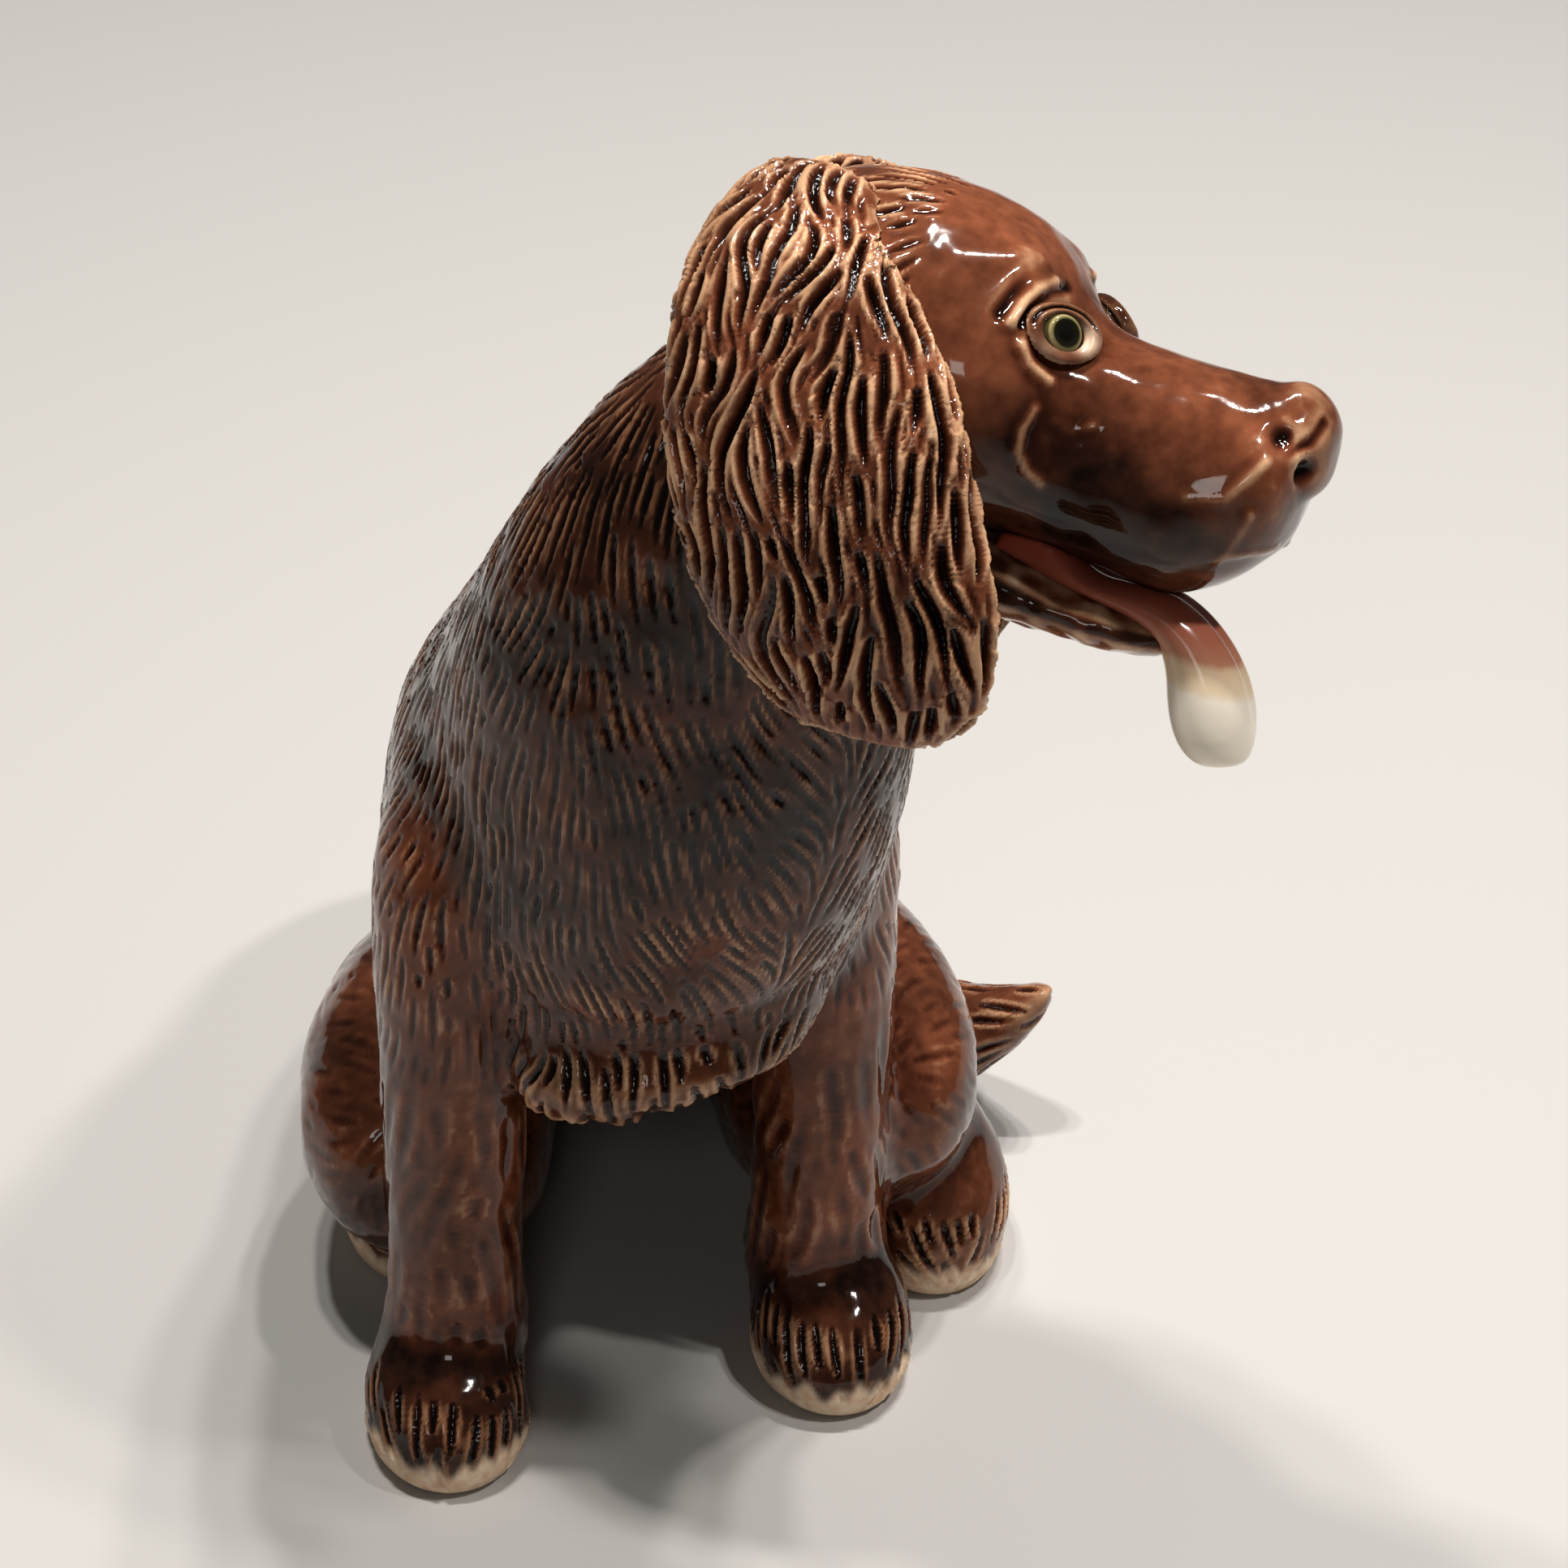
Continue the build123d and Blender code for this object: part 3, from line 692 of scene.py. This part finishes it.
torso_split = 33.0
behind = body_places[squares, 1].mean(axis=1) > torso_split
cuts = {node: square_node == number for number, node in enumerate(luted_nodes)}
whole_torso = cuts.pop("torso")
cuts["torso_front"] = whole_torso & ~behind
cuts["torso_back"] = whole_torso & behind
for name, chosen in cuts.items():
    used, again = np.unique(squares[chosen], return_inverse=True)
    mesh = bpy.data.meshes.new(name + "_glazed")
    mesh.from_pydata((body_places[used] - middle) * MM, [], again.reshape(-1, 4).tolist())
    piece = bpy.data.objects.new(name + "_glazed", mesh)
    bpy.context.collection.objects.link(piece)
    keep_values(piece, "relief", body_relief[used])
    keep_values(piece, "tone_and_painted_light", body_tone_and_painted_light[used])
    keep_values(piece, "bare", body_bare[used])
    close_piece(piece)
    glazed[name] = piece
bpy.data.objects.remove(body)
print({name: len(piece.data.polygons) for name, piece in glazed.items()})

# %% [markdown]
# ## Ears
#
# The ears are thick slabs, so the maker cuts them deeper and wavier than the coat, and the strokes fan out from the
# root and run over the lower edge. They are skinned one by one, with smaller squares for the deeper grooves.

# %% Ears
ear_square = 0.24
for side, node in ((-1, "ear_right"), (1, "ear_left")):
    piece = clay_copy(node, node + "_glazed")
    skin(piece, ear_square, 16)
    places, normals, edges = read_points(piece)
    root = head_place(side * 3.0, 26.0, -10.0)
    everywhere = np.ones(len(places))
    flow = turned(places - root, places, normals, 4.5, 0.85)
    ear_tree = place_tree(places)
    strokes = lay_strokes(ear_tree, places, normals, flow, everywhere > 0, 1.25, 9.5)
    fine = lay_strokes(ear_tree, places, normals, flow, everywhere > 0, 0.9, 5.0)
    heights = cut_strokes(places, strokes, everywhere, 1.15, 1.05, 0.32)
    heights += cut_strokes(places, fine, everywhere, 0.6, 0.3, 0.08)
    write_points(piece, places + normals * heights[:, None])
    down = -(places - root) @ head_axes[1]
    keep_values(piece, "relief", relief_of(piece, 22, 0.42))
    keep_values(piece, "tone_and_painted_light", 0.66 + 0.3 * smooth_step(down, np.percentile(down, 70), down.max()))
    keep_values(piece, "bare", everywhere * 0)
    glazed[node] = piece
    print(node, "strokes", int((strokes[1] == 0).sum()), "points", len(places))

# %% [markdown]
# ## Mouth, nose and eyes
#
# These small pieces are rolled and pressed by hand and stay smooth. The tongue gets a shallow furrow, the lower jaw a
# dark side between two lighter edges, and each eye is stamped with a small tube, which leaves a ring round the pupil.
# A second groove drawn along the upper lid makes it look folded.

# %% Lower jaw and tongue
for node, square, rounds in (("lower_jaw", 0.28, 8), ("tongue", 0.28, 8)):
    piece = clay_copy(node, node + "_glazed")
    skin(piece, square, rounds)
    glazed[node] = piece

places, normals, edges = read_points(glazed["tongue"])
in_mouth = (places - head_middle) @ head_axes.T
furrow = np.exp(-((in_mouth[:, 0] / 0.8) ** 2)) * smooth_step(normals @ head_axes[1], 0.0, 0.5)
write_points(glazed["tongue"], places - normals * (0.35 * furrow)[:, None])
keep_values(glazed["tongue"], "tip", np.clip((-12.0 - in_mouth[:, 1]) / 12.0, 0, 1))

jaw = glazed["lower_jaw"]
places, normals, edges = read_points(jaw)
grain = np.array([noise.noise(place) for place in (places / 1.6).tolist()])
write_points(jaw, places + normals * (0.2 * grain)[:, None])
rim_share = smooth_step(np.abs(normals @ head_axes[1]), 0.35, 0.7)
keep_values(jaw, "relief", np.clip(relief_of(jaw, 10, 0.25) + 0.25 * rim_share - 0.12, 0, 1))
keep_values(jaw, "tone_and_painted_light", 0.1 + 0.7 * rim_share)
keep_values(jaw, "bare", 0.2 * rim_share * smooth_step(grain, 0.0, 0.5))
print("mouth pieces", [len(glazed[node].data.polygons) for node in ("lower_jaw", "tongue")])

# %% Eyes and eyelids
eye_places = ((-1, "eye_right", "eyelids_right"), (1, "eye_left", "eyelids_left"))
eye_aside = 50.0
eye_raise = 30.0
ring_turn = 0.6
lid_groove = 2.5
lid_press = 0.22
lid_stretch = 0.1
for side, node, lids in eye_places:
    eye = clay_copy(node, node + "_glazed")
    skin(eye, 0.16, 3)
    places, normals, edges = read_points(eye)
    centre = (places.min(axis=0) + places.max(axis=0)) / 2
    gaze = Matrix.Rotation(math.radians(side * eye_aside), 3, Vector(head_axes[1])) @ head_forward
    gaze = Matrix.Rotation(math.radians(side * eye_raise), 3, head_forward) @ gaze
    rays = (places - centre) / np.linalg.norm(places - centre, axis=1)[:, None]
    off = np.arccos(np.clip(rays @ np.array(gaze), -1, 1))
    stamp = 0.14 * np.exp(-(((off - ring_turn) / 0.12) ** 2)) - 0.15 * smooth_step(off, 0.5, 0.3)
    write_points(eye, places + normals * stamp[:, None])
    keep_values(eye, "ring", np.clip(off, 0, 1))
    glazed[node] = eye
    lid = clay_copy(lids, lids + "_glazed")
    skin(lid, 0.14, 4)
    places, normals, edges = read_points(lid)
    arm = places - centre
    arm = arm - np.outer(arm @ np.array(gaze), gaze)
    from_sight = np.linalg.norm(arm, axis=1)
    upper = smooth_step(arm @ head_axes[1] / from_sight, 0.0, 0.5)
    groove = 0.4 * upper * np.exp(-(((from_sight - lid_groove) / 0.22) ** 2))
    level = np.outer(arm @ head_axes[1], head_axes[1])
    places = places - lid_press * level + lid_stretch * (arm - level)
    write_points(lid, places - normals * groove[:, None])
    inner_corner = np.linalg.norm(places - head_place(side * 6.0, 3.7, 12.1), axis=1)
    lower_edge = np.linalg.norm(places - head_place(side * 9.0, 2.4, 9.9), axis=1)
    # Painted highlight: a pale spot at the inner corner, stored as bare clay, and a fainter pale rim along the lower
    # edge.
    pale_wipe_and_highlight = 0.7 * np.exp(-((inner_corner / 1.0) ** 2)) + 0.15 * np.exp(-((lower_edge / 1.3) ** 2))
    keep_values(lid, "relief", relief_of(lid, 10, 0.16))
    keep_values(lid, "tone_and_painted_light", 0.4 - 0.3 * upper)
    keep_values(lid, "bare", np.clip(pale_wipe_and_highlight, 0, 1))
    glazed[lids] = lid
print("eyes", len(eye_places))

# %% [markdown]
# ## Glazes
#
# Stoneware glaze is a glass coloured with iron: glossy, warm and see-through, so its colour follows its thickness.
# Two ramps over the relief give a dark and a light reading. A slow cloudy noise mixes them, because the glaze was
# brushed on unevenly, and the stored tone mixes them too, with painted shade and painted light in it. A very soft
# ripple breaks the reflections, as on the real thing.

# %% Brown glaze
def ramp_colours(ramp, stops):
    """Sets a colour ramp's stops from pairs of a place and a hex colour."""
    band = ramp.color_ramp
    while len(band.elements) < len(stops):
        band.elements.new(0.5)
    for stop, (place, code) in zip(band.elements, stops):
        stop.position = place
        stop.color = linear(code)


glaze_roughness = 0.07
glaze_ior = 1.38  # lower than real glaze, so that the table's reflection doesn't grey the chest
cloud_size = 9.0
speck_size = 1.1
ripple_size = 3.0

brown = bpy.data.materials.new("brown_stoneware_glaze")
brown.use_nodes = True
tree = brown.node_tree
glass = tree.nodes["Principled BSDF"]
places_node = add_node(tree, "ShaderNodeTexCoord")
relief = add_node(tree, "ShaderNodeAttribute", attribute_name="relief")
tone_and_painted_light = add_node(tree, "ShaderNodeAttribute", attribute_name="tone_and_painted_light")
bare = add_node(tree, "ShaderNodeAttribute", attribute_name="bare")
cloud = add_node(
    tree,
    "ShaderNodeTexNoise",
    {"Vector": places_node.outputs["Object"], "Scale": 1 / (cloud_size * MM), "Detail": 4.0},
)
speck = add_node(
    tree,
    "ShaderNodeTexNoise",
    {"Vector": places_node.outputs["Object"], "Scale": 1 / (speck_size * MM), "Detail": 3.0},
)
shaken = add_node(
    tree, "ShaderNodeMath", {0: speck.outputs["Fac"], 1: 0.22, 2: relief.outputs["Fac"]}, operation="MULTIPLY_ADD"
)
level = add_node(tree, "ShaderNodeMath", {0: shaken.outputs[0], 1: 0.11}, operation="SUBTRACT")
dark_ramp = add_node(tree, "ShaderNodeValToRGB", {"Fac": level.outputs[0]})
ramp_colours(dark_ramp, ((0.2, "#070302"), (0.48, "#150906"), (0.64, "#351c12"), (0.9, "#8a5f43")))
light_ramp = add_node(tree, "ShaderNodeValToRGB", {"Fac": level.outputs[0]})
ramp_colours(light_ramp, ((0.15, "#140705"), (0.42, "#4a2315"), (0.62, "#7e4830"), (0.9, "#d3a984")))
# The stored tone carries painted shade and painted light as well as the glaze's depth; with the cloud it mixes the
# ramps.
mixing = add_node(
    tree, "ShaderNodeMath", {0: cloud.outputs["Fac"], 1: 2.2, 2: tone_and_painted_light.outputs["Fac"]}, operation="MULTIPLY_ADD"
)
mixed = add_node(tree, "ShaderNodeMath", {0: mixing.outputs[0], 1: 1.1}, operation="SUBTRACT", use_clamp=True)
glaze_colour = add_node(
    tree,
    "ShaderNodeMix",
    {0: mixed.outputs[0], "A": dark_ramp.outputs["Color"], "B": light_ramp.outputs["Color"]},
    data_type="RGBA",
)
bare_ramp = add_node(tree, "ShaderNodeValToRGB", {"Fac": speck.outputs["Fac"]})
ramp_colours(bare_ramp, ((0.3, "#dcb594"), (0.7, "#f2ddc2")))
skin_colour = add_node(
    tree,
    "ShaderNodeMix",
    {0: bare.outputs["Fac"], "A": glaze_colour.outputs["Result"], "B": bare_ramp.outputs["Color"]},
    data_type="RGBA",
)
dryness = add_node(
    tree, "ShaderNodeMath", {0: bare.outputs["Fac"], 1: 0.5, 2: glaze_roughness}, operation="MULTIPLY_ADD"
)
ripple = add_node(
    tree,
    "ShaderNodeTexNoise",
    {"Vector": places_node.outputs["Object"], "Scale": 1 / (ripple_size * MM), "Detail": 2.0},
)
wave = add_node(
    tree, "ShaderNodeBump", {"Height": ripple.outputs["Fac"], "Strength": 0.25, "Distance": 0.25 * MM}
)
tree.links.new(skin_colour.outputs["Result"], glass.inputs["Base Color"])
tree.links.new(dryness.outputs[0], glass.inputs["Roughness"])
tree.links.new(wave.outputs["Normal"], glass.inputs["Normal"])
glass.inputs["IOR"].default_value = glaze_ior
print(brown.name, len(tree.nodes), "nodes")

# %% [markdown]
# ### Tongue, eye and lid glazes
#
# The tongue carries a thin pink-brown glaze that was wiped off its tip, where the pale clay shows; the near-white end
# of the tip is partly a painted highlight. The eyes are a dark olive glass that pools inside the stamped ring. The lids
# take the brown glaze, with a painted highlight at the inner corner in the bare clay's colour.

# %% Tongue and eye glaze
wipe_size = 3.0
tongue_glaze = bpy.data.materials.new("pink_wiped_glaze_with_painted_highlight")
tongue_glaze.use_nodes = True
tree = tongue_glaze.node_tree
glass = tree.nodes["Principled BSDF"]
places_node = add_node(tree, "ShaderNodeTexCoord")
tip = add_node(tree, "ShaderNodeAttribute", attribute_name="tip")
speck = add_node(
    tree,
    "ShaderNodeTexNoise",
    {"Vector": places_node.outputs["Object"], "Scale": 1 / (wipe_size * MM), "Detail": 4.0},
)
worn = add_node(
    tree, "ShaderNodeMath", {0: speck.outputs["Fac"], 1: 0.12, 2: tip.outputs["Fac"]}, operation="MULTIPLY_ADD"
)
pale_wipe_and_highlight = add_node(tree, "ShaderNodeMath", {0: worn.outputs[0], 1: 0.06}, operation="SUBTRACT")
tongue_ramp = add_node(tree, "ShaderNodeValToRGB", {"Fac": pale_wipe_and_highlight.outputs[0]})
# The near-white end of the tip is partly a painted highlight, laid over the pale clay where the glaze was wiped off.
tongue_stops = (
    (0.0, "#9a4434"),
    (0.3, "#ab6650"),
    (0.42, "#ba8066"),
    (0.47, "#e2c4a2"),
    (0.6, "#f2dcbc"),
    (0.65, "#fdf3e2"),
)
ramp_colours(tongue_ramp, tongue_stops)
tree.links.new(tongue_ramp.outputs["Color"], glass.inputs["Base Color"])
glass.inputs["Roughness"].default_value = 0.16
glass.inputs["IOR"].default_value = glaze_ior

eye_glaze = bpy.data.materials.new("dark_olive_stamped_glaze")
eye_glaze.use_nodes = True
tree = eye_glaze.node_tree
glass = tree.nodes["Principled BSDF"]
ring = add_node(tree, "ShaderNodeAttribute", attribute_name="ring")
eye_ramp = add_node(tree, "ShaderNodeValToRGB", {"Fac": ring.outputs["Fac"]})
eye_stops = (
    (0.3, "#0b0a07"),
    (0.5, "#17150d"),
    (0.57, "#736a45"),
    (0.66, "#9c8f66"),
    (0.74, "#3f3d20"),
    (1.0, "#5a4630"),
)
ramp_colours(eye_ramp, eye_stops)
tree.links.new(eye_ramp.outputs["Color"], glass.inputs["Base Color"])
glass.inputs["Roughness"].default_value = 0.06
glass.inputs["IOR"].default_value = glaze_ior

lid_glaze = brown.copy()
lid_glaze.name = "thin_brown_lid_glaze"
print("glazes", tongue_glaze.name, eye_glaze.name, lid_glaze.name)

# %% [markdown]
# ## Handing the pieces over
#
# Every piece rides on the one body and takes the glaze of its node's slot, and the imported node it replaces is hidden.

# %% Pieces and their glazes
finishes = {"brown_glaze": brown, "tongue_glaze": tongue_glaze, "eye_glaze": eye_glaze, "lid_glaze": lid_glaze}
special_slots = {
    "tongue": "tongue_glaze",
    "eye_left": "eye_glaze",
    "eye_right": "eye_glaze",
    "eyelids_left": "lid_glaze",
    "eyelids_right": "lid_glaze",
}
halves = {"torso_front": "torso", "torso_back": "torso"}
for name, piece in glazed.items():
    node = halves.get(name, name)
    slot = special_slots.get(node, "brown_glaze")
    piece.data.materials.append(finishes[slot])
    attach(piece, "root")
    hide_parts(node)
print("pieces", len(glazed))
